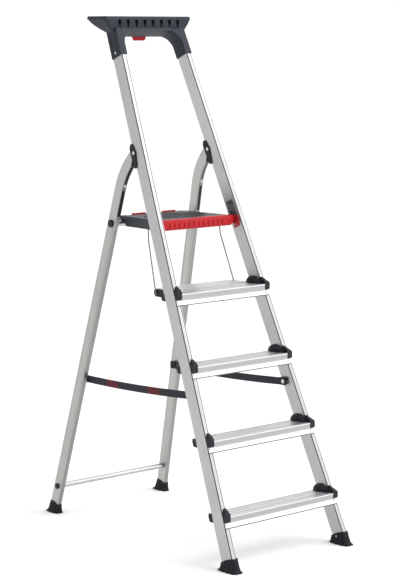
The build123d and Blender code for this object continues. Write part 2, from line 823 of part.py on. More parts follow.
with BuildPart() as hooks:
    tube_y, tube_z = cross_tube_at
    reach = cross_tube_radius + 0.7
    hook_profile = [
        (panel_back + 0.1, platform_height - 1),
        (tube_y + reach + 4, platform_height - 1),
        (tube_y + reach + 7, platform_height - 5),
        (tube_y + reach + 6, tube_z - 8),
        (tube_y + reach, tube_z - 8),
        (tube_y + reach, tube_z + 4),
        (tube_y + 8, tube_z + reach),
        (panel_back + 0.1, tube_z + reach),
    ]
    for sign in (-1, 1):
        prism(hook_profile, side(sign * 125 - 13), 26, round_at=(1, 2), radius=2)
    drum(cross_tube_at, reach, -150, 150, Mode.SUBTRACT)
finish(hooks.part, "platform_hooks")

with BuildPart() as platform_pins:
    for sign in (-1, 1):
        drum(platform_pivot, 5.0, sign * 152, sign * 171)
finish(platform_pins.part, "platform_pins")


# ---------------------------------------------------------------- rear deck of the top tread
deck_y, deck_half, deck_back = stile_face(top_tread), 163.6, 146.0
deck_section = [
    (66.5, 0),
    (deck_back, 0),
    (deck_back, -14),
    (deck_back - 2.4, -14),
    (deck_back - 2.4, -2.6),
    (66.5, -2.6),
]
deck_rod_hole = (deck_pivot[0] + rod_offset[0], deck_pivot[1] + rod_offset[1])

with BuildPart() as deck:
    prism(shifted(deck_section, deck_y, top_tread), side(-deck_half), 2 * deck_half)
    for place in (88.0, 112.0):
        web = [(place, -2.6), (place + 2, -2.6), (place + 2, -10), (place, -10)]
        prism(shifted(web, deck_y, top_tread), side(-deck_half), 2 * deck_half)
    cut_grooves(deck_y, top_tread, 72.0, deck_back - 6, deck_half + 2)
    with BuildSketch(Plane.XY.offset(top_tread - 40)) as outline:
        with BuildLine():
            FilletPolyline(
                (-deck_half, deck_y + 40),
                (deck_half, deck_y + 40),
                (deck_half, deck_y + deck_back),
                (-deck_half, deck_y + deck_back),
                radius=22,
                close=True,
            )
        make_face()
    extrude(outline.sketch, amount=60, mode=Mode.INTERSECT)
finish(deck.part, "rear_deck")

with BuildPart() as deck_sides:
    plate = [(deck_pivot_back, 0), (134, 0), (142, -6), (142, -18), (134, -26), (84, -26), (67, -9)]
    for low_x in (deck_side_out - deck_side_thick, -deck_side_out):
        outline = shifted(plate, deck_y, top_tread)
        prism(outline, side(low_x), deck_side_thick, round_at=(2, 3, 4, 5), radius=4)
        drum(deck_pivot, 4.0, low_x, low_x + deck_side_thick)
    drum(deck_pivot, 2.5 + pin_play, -180, 180, Mode.SUBTRACT)
    drum(deck_rod_hole, rod_radius + 0.15, -180, 180, Mode.SUBTRACT)
finish(deck_sides.part, "rear_deck_sides")

with BuildPart() as deck_pins:
    for sign in (-1, 1):
        drum(deck_pivot, 2.5, sign * 165, sign * 181)
finish(deck_pins.part, "rear_deck_pins")


# ---------------------------------------------------------------- linkage rods
upper_in, upper_out = 147.5, 156.2
lower_in, lower_out = 166.0, 174.4

with BuildPart() as rod:
    with BuildLine() as route:
        FilletPolyline(
            (upper_in, *rod_hole),
            (upper_out, *rod_hole),
            (upper_out + 2.0, rod_hole[0] - 4.0, rod_hole[1] - 38.0),
            (lower_out, *deck_rod_hole),
            (lower_in, *deck_rod_hole),
            radius=3.5,
        )
    with BuildSketch(Plane(origin=route.line @ 0, z_dir=route.line % 0)):
        Circle(rod_radius)
    sweep()
finish_pair(rod.part, "rod")


# ---------------------------------------------------------------- safety straps
front_anchor, rear_anchor = (-239.0, 522.0), (351.0, 495.0)
strap_sag, strap_width, strap_thick = 6.0, 25.0, 1.7
front_strap_x, rear_strap_x = 193.9, 196.4
fold_share = 0.5125  # share of the strap ahead of its fold
middle = (
    front_anchor[0] + fold_share * (rear_anchor[0] - front_anchor[0]),
    front_anchor[1] + fold_share * (rear_anchor[1] - front_anchor[1]) - strap_sag,
)
fitting_long, fitting_wide = 27.0, 24.0
front_fitting, rear_fitting = (192.8, 197.2), (194.8, 199.2)  # inner and outer faces


def strap_run(start, end, x, trim_start, trim_end, name):
    """A flat run of webbing between two points, edge up."""
    length = hypot(end[0] - start[0], end[1] - start[1])
    along = ((end[0] - start[0]) / length, (end[1] - start[1]) / length)
    across = (-along[1], along[0])
    half = strap_width / 2

    def spot(distance, offset_up):
        return (
            start[0] + distance * along[0] + offset_up * across[0],
            start[1] + distance * along[1] + offset_up * across[1],
        )

    with BuildPart() as strap:
        corners = [
            spot(trim_start, -half),
            spot(length - trim_end, -half),
            spot(length - trim_end, half),
            spot(trim_start, half),
        ]
        prism(corners, side(x), strap_thick)
    finish_pair(strap.part, name)


def fitting_at(anchor, toward, x0, x1, hole, name):
    """End plates of both straps: a folded plate around the webbing's end."""
    length = hypot(toward[0] - anchor[0], toward[1] - anchor[1])
    turn = (toward[0] - anchor[0]) / length, (toward[1] - anchor[1]) / length
    across = (-turn[1], turn[0])
    back, ahead, half = -fitting_long * 0.42, fitting_long * 0.58, fitting_wide / 2 + 1.2
    corners = [
        (anchor[0] + a * turn[0] + c * across[0], anchor[1] + a * turn[1] + c * across[1])
        for a, c in ((back, -half), (ahead, -half), (ahead, half), (back, half))
    ]
    with BuildPart() as fitting:
        for sign in (-1, 1):
            low = min(sign * x0, sign * x1)
            prism(corners, side(low), abs(x1 - x0), round_at=(0, 1, 2, 3), radius=3)
        if hole:
            drum(anchor, hole, -210, 210, Mode.SUBTRACT)
        else:
            for sign in (-1, 1):
                drum(anchor, 6.5, sign * (x0 - 1.8), sign * x0)
    finish(fitting.part, name)


strap_run(front_anchor, middle, front_strap_x, fitting_long * 0.58, 0, "strap_front")
strap_run(middle, rear_anchor, rear_strap_x, 0, fitting_long * 0.58, "strap_rear")
fitting_at(front_anchor, middle, *front_fitting, 4.0 + pin_play, "strap_front_fittings")
fitting_at(rear_anchor, middle, *rear_fitting, None, "strap_rear_fittings")

forward = front_anchor[0] - front_y
anchor_along = forward * sin(stile_lean) + front_anchor[1] * cos(stile_lean)
stile_inside = stile_half(anchor_along) - stile_width
leg_inside = leg_half(rear_anchor[1]) - leg_width
with BuildPart() as front_strap_rivets:
    for sign in (-1, 1):
        drum(front_anchor, 7.0, sign * (front_fitting[0] - 2.2), sign * (front_fitting[0] - 0.4))
        drum(front_anchor, 4.0, sign * (front_fitting[0] - 0.4), sign * (stile_inside - 0.3))
        drum(front_anchor, 7.0, sign * (front_fitting[1] + 0.4), sign * (front_fitting[1] + 2.2))
finish(front_strap_rivets.part, "strap_rivets_front")
with BuildPart() as rear_strap_rivets:
    for sign in (-1, 1):
        drum(rear_anchor, 6.0, sign * (rear_fitting[1] + 0.7), sign * (leg_inside - 0.5))
finish(rear_strap_rivets.part, "strap_rivets_rear")


# ---------------------------------------------------------------- sticker on the right stile
label_low, label_high = 1040.0 / cos(stile_lean), 1128.0 / cos(stile_lean)
with BuildPart() as label:
    inside = stile_half(label_low) - stile_width, stile_half(label_high) - stile_width
    prism(
        [
            (inside[0], label_low),
            (inside[1], label_high),
            (inside[1] - 0.4, label_high),
            (inside[0] - 0.4, label_low),
        ],
        lean_plane.offset(-9),
        -32,
    )
    drum(platform_pivot, 6.0, 150, 190, Mode.SUBTRACT)
finish(label.part, "stile_label")
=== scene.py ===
import math

import bpy
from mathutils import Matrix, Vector


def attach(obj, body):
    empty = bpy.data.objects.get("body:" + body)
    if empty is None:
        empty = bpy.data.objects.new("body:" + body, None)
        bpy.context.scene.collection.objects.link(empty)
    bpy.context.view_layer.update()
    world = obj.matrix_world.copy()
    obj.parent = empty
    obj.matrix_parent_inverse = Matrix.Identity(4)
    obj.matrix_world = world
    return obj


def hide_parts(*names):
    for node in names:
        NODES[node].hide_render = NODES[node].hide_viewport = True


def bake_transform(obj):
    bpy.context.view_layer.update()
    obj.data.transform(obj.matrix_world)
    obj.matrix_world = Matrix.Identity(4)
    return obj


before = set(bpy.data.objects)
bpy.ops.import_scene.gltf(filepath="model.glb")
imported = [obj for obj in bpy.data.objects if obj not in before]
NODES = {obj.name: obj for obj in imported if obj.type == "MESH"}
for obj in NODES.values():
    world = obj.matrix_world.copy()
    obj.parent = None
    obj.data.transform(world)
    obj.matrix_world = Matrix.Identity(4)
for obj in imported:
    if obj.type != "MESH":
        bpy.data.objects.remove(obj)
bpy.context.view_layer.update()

SIDES = ((-1, "left"), (1, "right"))

# ---------------------------------------------------------------- lines of the frame, metres
STILE_LEAN = math.radians(23.39)  # back from upright
LEG_LEAN = math.radians(14.27)  # forward from upright
STILE_FOOT = 0.505  # the stiles' front faces meet the floor this far in front of the origin
STILE_EDGE = 0.2578  # a stile's outer edge at the floor, from the middle plane
STILE_TAPER = 0.0606  # how far that edge comes in for each metre along the stile
STILE_WIDTH = 0.020
LEG_GROOVE = 0.2453  # a leg's groove, whose shade is painted as a dark stripe, carried down to the floor, from the middle plane
LEG_GROOVE_HALF = 0.0034  # half the groove's width
LEG_GROOVE_SOFT = 0.0012  # how far its edges fade
LEG_TAPER = 0.0649  # how far it comes in for each metre of height
LEG_BEND = (1.160, 1.185)  # the heights between which the groove's painted shade fades in
TREAD_TOPS = (0.170, 0.395, 0.620, 0.845)
TREAD_PITCH = 0.225
TREAD_FACE = 0.050  # how far below its top a tread's front lines are measured

# ---------------------------------------------------------------- colours, linear RGB
ALUMINIUM = (0.50, 0.50, 0.512)
ALUMINIUM_LEG = (0.50, 0.50, 0.485)
TREAD_SILVER = (0.78, 0.785, 0.80)
TRAY_GREY = (0.020, 0.025, 0.035)
PANEL_GREY = (0.036, 0.041, 0.050)
CAP_BLACK = (0.009, 0.010, 0.014)
FOOT_BLACK = (0.010, 0.010, 0.014)
SIGNAL_RED = (0.44, 0.006, 0.011)
# pale colour of the studs that stand for painted highlights on the leg strips
PAINTED_HIGHLIGHT_PALE = (0.62, 0.62, 0.60)
ZINC = (0.60, 0.60, 0.61)
ROD_ZINC_SHARE = 0.36  # the rods are this much of ZINC
WEBBING = (0.022, 0.024, 0.032)
WEBBING_RED = (0.13, 0.012, 0.018)
WEBBING_FUZZ = (0.09, 0.09, 0.10)
VINYL = (0.05, 0.05, 0.055)
PRINT_PANEL = (0.055, 0.055, 0.062)
PRINT_FOOT = (0.42, 0.02, 0.03)
PRINT_BAR = (0.32, 0.32, 0.33)
PRINT_HEAD = (0.40, 0.03, 0.04)
FLOOR_PALE = (0.93, 0.93, 0.93)

# ---------------------------------------------------------------- patterns
# noise cells per metre, in a grain's own axes: two across it, then along it
DIE_LINES = (900, 900, 2.5)
DIE_BANDS = (60, 60, 1.2)
BLOTCHES = (9, 9, 9)
MOTTLING = (28, 28, 28)
SCUFFS = (160, 160, 22)
PLATING = (300, 300, 300)
FIBRES = (900, 900, 900)

# how the grain's long axis is turned
ALONG_X = (0, math.radians(90), 0)
ALONG_STILE = (-STILE_LEAN, 0, 0)
ALONG_LEG = (LEG_LEAN, 0, 0)
ALONG_SCUFFS = (0.4, 0.2, 0.0)

# lines along the metal: where the middle is, half the width, and the tone of the metal's colour
# on the stiles, the first line is painted reflection (the rounded -X corner mirroring the dark
# flag), the second a faint line, and the third a groove drawn as a line of painted shade
STILE_LINES = ((0.0018, 0.0019, 0.02), (0.0054, 0.0016, 0.80), (0.0170, 0.0012, 0.22))
TREAD_TOP_LINES = (
    (-0.013, 0.0022, 0.55),
    (0.006, 0.0045, 0.50),
    (0.030, 0.0028, 0.42),
    (0.050, 0.0045, 0.50),
)
# on the treads' fronts, the first line is the nosing's painted shade
TREAD_FRONT_LINES = ((0.011, 0.0072, 0.52), (0.0202, 0.0012, 0.30), (0.0374, 0.0018, 0.12))

# the sticker's print: heights, and half heights
PRINT_FOOT_EDGE = (1.0690, 1.0710)
PRINT_BARS = ((1.0870, 0.0022), (1.0950, 0.0014), (1.1015, 0.0014))
PRINT_HEAD_LINE = (1.1235, 0.0035)

# the straps' weave, and the middles of their red marks along Y
TWILL_PITCH = 0.0032
CROSS_PITCH = 0.0021
WEBBING_MARKS = (0.1966, -0.0235)
MARK_HALF = 0.030
MARK_SOFT = 0.002


# ---------------------------------------------------------------- materials
def set_range(node, *numbers):
    """Set a map range node: from low, from high, to low, to high."""
    for key, number in zip(("From Min", "From Max", "To Min", "To Max"), numbers):
        node.inputs[key].default_value = number


class Shade:
    """A small helper around one material's node tree."""

    def __init__(self, name, base, roughness, metallic=0.0):
        self.material = bpy.data.materials.new(name)
        self.material.use_nodes = True
        self.nodes = self.material.node_tree.nodes
        self.links = self.material.node_tree.links
        self.bsdf = self.nodes["Principled BSDF"]
        self.bsdf.inputs["Base Color"].default_value = (*base, 1)
        self.bsdf.inputs["Roughness"].default_value = roughness
        self.bsdf.inputs["Metallic"].default_value = metallic
        coordinates = self.add("ShaderNodeTexCoord").outputs
        self.place = coordinates["Object"]
        self.normal = coordinates["Normal"]

    def add(self, kind, **values):
        node = self.nodes.new(kind)
        for key, value in values.items():
            setattr(node, key, value)
        return node

    def join(self, source, target):
        self.links.new(source, target)

    def axes(self, vector):
        """The X, Y and Z of a vector socket."""
        node = self.add("ShaderNodeSeparateXYZ")
        self.join(vector, node.inputs[0])
        return tuple(node.outputs)

    def math(self, operation, first, second=None):
        """A math node; each input may be a number or a socket."""
        node = self.add("ShaderNodeMath", operation=operation)
        for socket, value in zip(node.inputs, (first, second)):
            if isinstance(value, (int, float)):
                socket.default_value = value
            elif value is not None:
                self.join(value, socket)
        return node.outputs[0]

    def mapped(self, scale, rotation=(0, 0, 0)):
        """Object coordinates, turned into a grain's own axes and then scaled."""
        turn = self.add("ShaderNodeMapping", vector_type="TEXTURE")
        turn.inputs["Rotation"].default_value = rotation
        self.join(self.place, turn.inputs["Vector"])
        size = self.add("ShaderNodeMapping", vector_type="POINT")
        size.inputs["Scale"].default_value = scale
        self.join(turn.outputs["Vector"], size.inputs["Vector"])
        return size.outputs["Vector"]

    def noise(self, vector, detail, rough=0.5):
        node = self.add("ShaderNodeTexNoise")
        node.inputs["Scale"].default_value = 1.0
        node.inputs["Detail"].default_value = detail
        node.inputs["Roughness"].default_value = rough
        self.join(vector, node.inputs["Vector"])
        return node.outputs["Fac"]

    def spread(self, value, low, high, from_low=0.3, from_high=0.7):
        """Low at from_low and before it, high at from_high and past it."""
        node = self.add("ShaderNodeMapRange")
        set_range(node, from_low, from_high, low, high)
        self.join(value, node.inputs["Value"])
        return node.outputs["Result"]

    def mix(self, factor, first, second):
        """Mixes two colours by a socket; each colour may be a tuple or a socket."""
        node = self.add("ShaderNodeMix", data_type="RGBA")
        colours = [s for s in node.inputs if s.type == "RGBA"]
        for socket, value in zip(colours, (first, second)):
            if isinstance(value, tuple):
                socket.default_value = (*value, 1)
            else:
                self.join(value, socket)
        self.join(factor, node.inputs[0])
        return next(s for s in node.outputs if s.type == "RGBA")

    def band(self, value, centre, half, soft=0.0003):
        """1 where the value is within half of the centre."""
        away = self.math("ABSOLUTE", self.math("SUBTRACT", value, centre))
        return self.spread(away, 1.0, 0.0, half - soft, half + soft)

    def lined(self, colour, base, value, lines, where):
        """The colour with lines on it where the mask is 1, each in a tone of the base."""
        for centre, half, tone in lines:
            mask = self.math("MULTIPLY", self.band(value, centre, half), where)
            colour = self.mix(mask, colour, scaled(base, tone))
        return colour

    def front_mask(self, full=-0.8, none=-0.6):
        """1 where the surface faces -Y, fading as its normal's Y goes from full to none."""
        return self.spread(self.axes(self.normal)[1], 1.0, 0.0, full, none)

    def paint(self, colour):
        self.join(colour, self.bsdf.inputs["Base Color"])

    def bump(self, height, strength, distance):
        node = self.add("ShaderNodeBump")
        node.inputs["Strength"].default_value = strength
        node.inputs["Distance"].default_value = distance
        self.join(height, node.inputs["Height"])
        self.join(node.outputs["Normal"], self.bsdf.inputs["Normal"])


def scaled(colour, factor):
    return tuple(c * factor for c in colour)


def metal_shade(name, base, rotation, roughness):
    """Satin anodised aluminium with die lines along one direction: the shade and its colour."""
    s = Shade(name, base, roughness, metallic=1.0)
    lines = s.noise(s.mapped(DIE_LINES, rotation), detail=4)
    broad = s.noise(s.mapped(DIE_BANDS, rotation), detail=2)
    blotch = s.noise(s.mapped(BLOTCHES), detail=5, rough=0.6)
    streaked = s.mix(s.spread(lines, 0, 1), scaled(base, 0.90), scaled(base, 1.06))
    clouded = s.mix(s.spread(broad, 0.0, 0.35), streaked, scaled(base, 0.88))
    colour = s.mix(s.spread(blotch, 0.0, 0.18), clouded, scaled(base, 0.80))
    worn = s.spread(blotch, roughness - 0.03, roughness + 0.07)
    s.join(s.math("ADD", s.spread(lines, -0.05, 0.06), worn), s.bsdf.inputs["Roughness"])
    s.bump(lines, 0.10, 0.0004)
    return s, colour


def tube_metal():
    """Round tube, with nothing but its die lines."""
    s, colour = metal_shade("tube_aluminium", ALUMINIUM, ALONG_X, 0.3)
    s.paint(colour)
    return s.material


def stile_inset(s):
    """How far in a point lies from the outer edge of the tapering front frame."""
    x, y, z = s.axes(s.place)
    rise = s.math("MULTIPLY", z, math.cos(STILE_LEAN))
    run = s.math("MULTIPLY", s.math("ADD", y, STILE_FOOT), math.sin(STILE_LEAN))
    along = s.math("ADD", rise, run)
    edge = s.math("SUBTRACT", STILE_EDGE, s.math("MULTIPLY", along, STILE_TAPER))
    return s.math("SUBTRACT", edge, s.math("ABSOLUTE", x))


def stile_metal(name, side):
    """Stile extrusion: on its front face, a dark band of painted reflection along the -X edge,
    where the rounded corner would mirror the dark flag, and a faint line by that edge; by the
    other edge, a finer groove drawn as a line of painted shade."""
    s, colour = metal_shade(name, ALUMINIUM, ALONG_STILE, 0.38)
    inset = stile_inset(s)
    if side > 0:
        inset = s.math("SUBTRACT", STILE_WIDTH, inset)
    # painted reflection along the -X corner, a faint line, and a groove's painted shade
    s.paint(s.lined(colour, ALUMINIUM, inset, STILE_LINES, s.front_mask()))
    return s.material


def leg_metal():
    """Leg extrusion: narrow faces darkened with painted shade, and a dark stripe of painted shade
    for the groove along the inside of the bend.
    """
    s, colour = metal_shade("leg_aluminium", ALUMINIUM_LEG, ALONG_LEG, 0.42)
    x, _, z = s.axes(s.place)
    sideways = s.math("ABSOLUTE", s.axes(s.normal)[0])
    # painted shade: the narrow front and back faces are darkened, as they take less light than the
    # outer faces
    colour = s.mix(s.spread(sideways, 1.0, 0.0), colour, scaled(ALUMINIUM_LEG, 0.60))
    across = s.math("ADD", s.math("ABSOLUTE", x), s.math("MULTIPLY", z, LEG_TAPER))
    # painted shade: the groove is not cut, and its shaded inside is painted as a dark stripe
    groove_shade = s.band(across, LEG_GROOVE, LEG_GROOVE_HALF, LEG_GROOVE_SOFT)
    mask = s.math("MULTIPLY", groove_shade, s.spread(z, 0.0, 1.0, *LEG_BEND))
    mask = s.math("MULTIPLY", mask, s.front_mask(-0.7, -0.4))
    s.paint(s.mix(mask, colour, scaled(ALUMINIUM_LEG, 0.10)))
    return s.material


def tread_metal():
    """Tread extrusion: broad darker bands along its top, and along its front a nosing darkened
    with painted shade and fine lines."""
    s, colour = metal_shade("tread_aluminium", TREAD_SILVER, ALONG_X, 0.34)
    _, y, z = s.axes(s.place)
    above = s.math("SUBTRACT", z, TREAD_TOPS[0] - TREAD_FACE)
    rung = s.math("FRACT", s.math("DIVIDE", above, TREAD_PITCH))
    below_top = s.math("SUBTRACT", TREAD_FACE, s.math("MULTIPLY", rung, TREAD_PITCH))
    front = s.math("SUBTRACT", s.math("MULTIPLY", z, math.tan(STILE_LEAN)), STILE_FOOT)
    behind_front = s.math("SUBTRACT", y, front)
    upward = s.spread(s.axes(s.normal)[2], 0.0, 1.0, 0.6, 0.9)
    colour = s.lined(colour, TREAD_SILVER, behind_front, TREAD_TOP_LINES, upward)
    # the nosing band here is painted shade
    s.paint(s.lined(colour, TREAD_SILVER, below_top, TREAD_FRONT_LINES, s.front_mask()))
    return s.material


def moulded(name, base, roughness, grain=0.22, grain_scale=1400.0, specular=0.5):
    """Spark-eroded injection moulding: fine grain, faint mottling and scuffs."""
    s = Shade(name, base, roughness)
    fine = s.noise(s.mapped((grain_scale,) * 3), detail=2)
    mottled = s.noise(s.mapped(MOTTLING), detail=6, rough=0.62)
    scuffs = s.noise(s.mapped(SCUFFS, ALONG_SCUFFS), detail=5, rough=0.7)
    tone = s.mix(s.spread(mottled, 0.0, 1.0), scaled(base, 0.86), scaled(base, 1.14))
    scuffed = tuple(min(1.0, c * 1.7 + 0.01) for c in base)
    s.paint(s.mix(s.spread(scuffs, 0.0, 0.14, 0.56, 0.8), tone, scuffed))
    s.join(s.spread(mottled, roughness - 0.05, roughness + 0.07), s.bsdf.inputs["Roughness"])
    s.bsdf.inputs["Specular IOR Level"].default_value = specular
    s.bump(fine, grain, 0.0005)
    return s.material


def zinc_steel(name, base):
    """Plated steel."""
    s = Shade(name, base, 0.24, metallic=1.0)
    fine = s.noise(s.mapped(PLATING), detail=4)
    s.paint(s.mix(s.spread(fine, 0, 1), scaled(base, 0.86), scaled(base, 1.1)))
    s.join(s.spread(fine, 0.18, 0.32), s.bsdf.inputs["Roughness"])
    s.bump(fine, 0.06, 0.0004)
    return s.material


def sticker():
    """Printed vinyl: red foot, dark grey panel with faint pale bars, thin red line at the head."""
    s = Shade("sticker_vinyl", VINYL, 0.3)
    height = s.axes(s.place)[2]
    colour = s.mix(s.spread(height, 1.0, 0.0, *PRINT_FOOT_EDGE), PRINT_PANEL, PRINT_FOOT)
    for centre, half in PRINT_BARS:
        faint = s.math("MULTIPLY", s.band(height, centre, half), 0.5)
        colour = s.mix(faint, colour, PRINT_BAR)
    s.paint(s.mix(s.band(height, *PRINT_HEAD_LINE), colour, PRINT_HEAD))
    return s.material


def webbing():
    """Woven polyester: twill ribs, pale fibres, and two woven-in red marks on the outer face."""
    s = Shade("strap_webbing", WEBBING, 0.8)
    x, y, z = s.axes(s.place)
    ribs = s.math("SINE", s.math("MULTIPLY", s.math("ADD", y, z), 2 * math.pi / TWILL_PITCH))
    cross = s.math("SINE", s.math("MULTIPLY", y, 2 * math.pi / CROSS_PITCH))
    weave = s.math("ADD", s.math("MULTIPLY", ribs, 0.6), s.math("MULTIPLY", cross, 0.4))
    colour = s.mix(s.spread(weave, 0, 1, -1, 1), scaled(WEBBING, 0.65), scaled(WEBBING, 1.5))
    outward = s.math("GREATER_THAN", s.math("MULTIPLY", s.axes(s.normal)[0], x), 0.0)
    for centre in WEBBING_MARKS:
        mark = s.math("MULTIPLY", s.band(y, centre, MARK_HALF, MARK_SOFT), outward)
        colour = s.mix(mark, colour, WEBBING_RED)
    fuzz = s.noise(s.mapped(FIBRES), detail=3)
    s.paint(s.mix(s.spread(fuzz, 0, 0.35), colour, WEBBING_FUZZ))
    s.bsdf.inputs["Specular IOR Level"].default_value = 0.2
    s.bump(weave, 0.5, 0.0006)
    return s.material


STILE_METALS = {
    "stile_left": stile_metal("stile_aluminium_left", -1),
    "stile_right": stile_metal("stile_aluminium_right", 1),
}
LEG_METAL = leg_metal()
TREAD_METAL = tread_metal()
TUBE_METAL = tube_metal()
TRAY_PLASTIC = moulded("tray_plastic", TRAY_GREY, 0.50, specular=0.22)
PANEL_PLASTIC = moulded("panel_plastic", PANEL_GREY, 0.48, grain=0.3, specular=0.3)
CAP_PLASTIC = moulded("cap_plastic", CAP_BLACK, 0.45, specular=0.25)
FOOT_RUBBER = moulded("foot_rubber", FOOT_BLACK, 0.62, 0.35, grain_scale=900.0, specular=0.2)
RED_PLASTIC = moulded("red_plastic", SIGNAL_RED, 0.42, grain=0.12, specular=0.25)
STEEL = zinc_steel("zinc_steel", ZINC)
ROD_STEEL = zinc_steel("rod_steel", scaled(ZINC, ROD_ZINC_SHARE))
# pale studs that stand for painted highlights on the legs
PAINTED_HIGHLIGHT_STUD = moulded("painted_highlight_stud", PAINTED_HIGHLIGHT_PALE, 0.4)
WEBBING_CLOTH = webbing()
STICKER = sticker()

RED_PARTS = ("bucket_hook", "platform_front_bar", "platform_handle")
BLACK_PARTS = ("hinge_plates", "hinge_knuckle", "leg_strip", "rear_deck_sides", "platform_hooks")


def material_for(node):
    if node == "stile_label":
        return STICKER
    if node in STILE_METALS:
        return STILE_METALS[node]
    if node in ("rod_left", "rod_right"):
        return ROD_STEEL
    if node.startswith("rear_leg"):
        return LEG_METAL
    if node.endswith("fittings") or "cap" in node or "plugs" in node:
        return CAP_PLASTIC
    if node.startswith(BLACK_PARTS):
        return CAP_PLASTIC
    if node.startswith(("strap_front", "strap_rear")):
        return WEBBING_CLOTH
    if node in ("cross_tube", "lower_brace"):
        return TUBE_METAL
    if node in ("rear_deck", "tread_1", "tread_2", "tread_3", "tread_4"):
        return TREAD_METAL
    if "foot" in node:
        return FOOT_RUBBER
    if node == "top_tray":
        return TRAY_PLASTIC
    if node == "platform_panel":
        return PANEL_PLASTIC
    if node in RED_PARTS:
        return RED_PLASTIC
    return STEEL


for node, obj in NODES.items():
    obj.data.materials.clear()
    obj.data.materials.append(material_for(node))


# ---------------------------------------------------------------- softened edges
def edge_width(node):
    """How wide a CAD node's bevelled edges are, or 0 where they stay sharp."""
    if node in STILE_METALS or node.startswith("rear_leg"):
        return 0.0013
    if node == "top_tray":
        return 0.0012
    if "_cap_" in node:
        return 0.0010
    if node in RED_PARTS or node == "platform_panel" or node.startswith("hinge_plates"):
        return 0.0008
    return 0


for node, obj in NODES.items():
    width = edge_width(node)
    if width:
        weld = obj.modifiers.new("weld", "WELD")
        weld.merge_threshold = 0.00001
        bevel = obj.modifiers.new("bevel", "BEVEL")
        bevel.width = width
        bevel.segments = 2
        bevel.limit_method = "ANGLE"
        bevel.angle_limit = math.radians(35)


# ---------------------------------------------------------------- pieces
def add_object(name, data):
    obj = bpy.data.objects.new(name, data)
    bpy.context.scene.collection.objects.link(obj)
    return obj


def new_piece(name, vertices, faces, material, body, slot, smooth=True):
    mesh = bpy.data.meshes.new(name)
    mesh.from_pydata(vertices, [], faces)
    mesh.update()
    mesh.materials.append(material)
    if smooth:
        for polygon in mesh.polygons:
            polygon.use_smooth = True
    obj = add_object(name, mesh)
    if body:
        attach(obj, body)
    return obj


def rings(loops):
    """Vertices and faces of a tube through equal-length closed loops, with flat ends."""
    count = len(loops[0])
    vertices = [p for loop in loops for p in loop]
    faces = []
    for i in range(len(loops) - 1):
        low, high = i * count, (i + 1) * count
        for j in range(count):
            k = (j + 1) % count
            faces.append((low + j, low + k, high + k, high + j))
    last = (len(loops) - 1) * count
    faces.append(tuple(reversed(range(count))))
    faces.append(tuple(last + j for j in range(count)))
    return vertices, faces


# The boots: the sole is (x0, x1, y0, y1), and the mouth the same with its height at the middle
# and how steeply it rises along Y. Then the number of ribs.
BOOTS = {
    "front": (
        (0.2235, 0.2690, -0.5140, -0.4270),
        (0.2312, 0.2578, -0.4935, -0.4330, 0.0340, -0.43),
        13,
    ),
    "rear": (
        (0.2270, 0.2610, 0.4430, 0.5135),
        (0.2330, 0.2545, 0.4455, 0.4905, 0.0370, 0.25),
        12,
    ),
}
SOLE_FLARE = 0.0030  # how far the sole stands out
RIB_DEPTH = 0.0030
RIM_SCALLOP = 0.0028  # how far the rim lifts between two ribs
MOUTH_WAVE = 0.0030


def squircle(turn, half_x, half_y, power):
    """A point on an oval that gets squarer as the power goes up."""
    c, s = math.cos(turn), math.sin(turn)
    reach = (abs(c) ** power + abs(s) ** power) ** (-1 / power)
    return half_x * reach * c, half_y * reach * s


def boot(end, side, word):
    """A ribbed rubber foot that stands for the CAD's plain one. It narrows most just above its
    sole, and gets squarer towards its mouth."""
    sole, mouth, ribs = BOOTS[end]
    steps, count = 16, 8 * ribs
    mouth_y = (mouth[2] + mouth[3]) / 2
    loops = []
    for i in range(steps + 1):
        t = i / steps
        ease = t ** 0.62
        x0, x1, y0, y1 = (sole[k] + (mouth[k] - sole[k]) * ease for k in range(4))
        flare = SOLE_FLARE * math.exp(-t / 0.10)
        deep = RIB_DEPTH * (1 - t) ** 0.7 * min(1.0, t * 6 + 0.5)
        loop = []
        for j in range(count):
            turn = 2 * math.pi * j / count
            valley = 0.5 + 0.5 * math.cos(ribs * turn)
            grow = flare - deep * valley
            x, y = squircle(turn, (x1 - x0) / 2 + grow, (y1 - y0) / 2 + grow, 3.0 + 2.5 * t)
            y += (y0 + y1) / 2
            low = RIM_SCALLOP * valley * (1 - t) ** 2
            high = mouth[4] + mouth[5] * (y - mouth_y) + MOUTH_WAVE * math.cos(2 * turn)
            loop.append((side * ((x0 + x1) / 2 + x), y, low + (high - low) * t))
        loops.append(loop if side > 0 else list(reversed(loop)))
    obj = new_piece(
        f"boot_{end}_{word}", *rings(loops), FOOT_RUBBER, f"{end}_frame", "foot_rubber"
    )
    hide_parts(f"{end}_foot_{word}")


for side, word in SIDES:
    boot("front", side, word)
    boot("rear", side, word)


# The straps: the rivets and the fold as (y, z), and what lies between.
STRAP_FRONT, STRAP_FOLD, STRAP_REAR = (-0.239, 0.522), (0.063375, 0.5021625), (0.351, 0.495)
STRAP_HALF = 0.0125
STRAP_THICK = 0.0017
STRAP_TRIM = 0.0157  # how far from each rivet the cloth ends
STRAP_SAG = 0.0062
STRAP_X, STRAP_X_GAIN = 0.1939, 0.0025  # the inner face at the front, and how far it leans out


def strap_line(steps):
    """Points (y, z) along the strap's middle."""
    reach = STRAP_REAR[0] - STRAP_FRONT[0]
    line = []
    for i in range(steps + 1):
        y = STRAP_FRONT[0] + STRAP_TRIM + i / steps * (reach - 2 * STRAP_TRIM)
        share = (y - STRAP_FRONT[0]) / reach
        chord = STRAP_FRONT[1] + share * (STRAP_REAR[1] - STRAP_FRONT[1])
        line.append((y, chord - STRAP_SAG * 4 * share * (1 - share)))
    return line


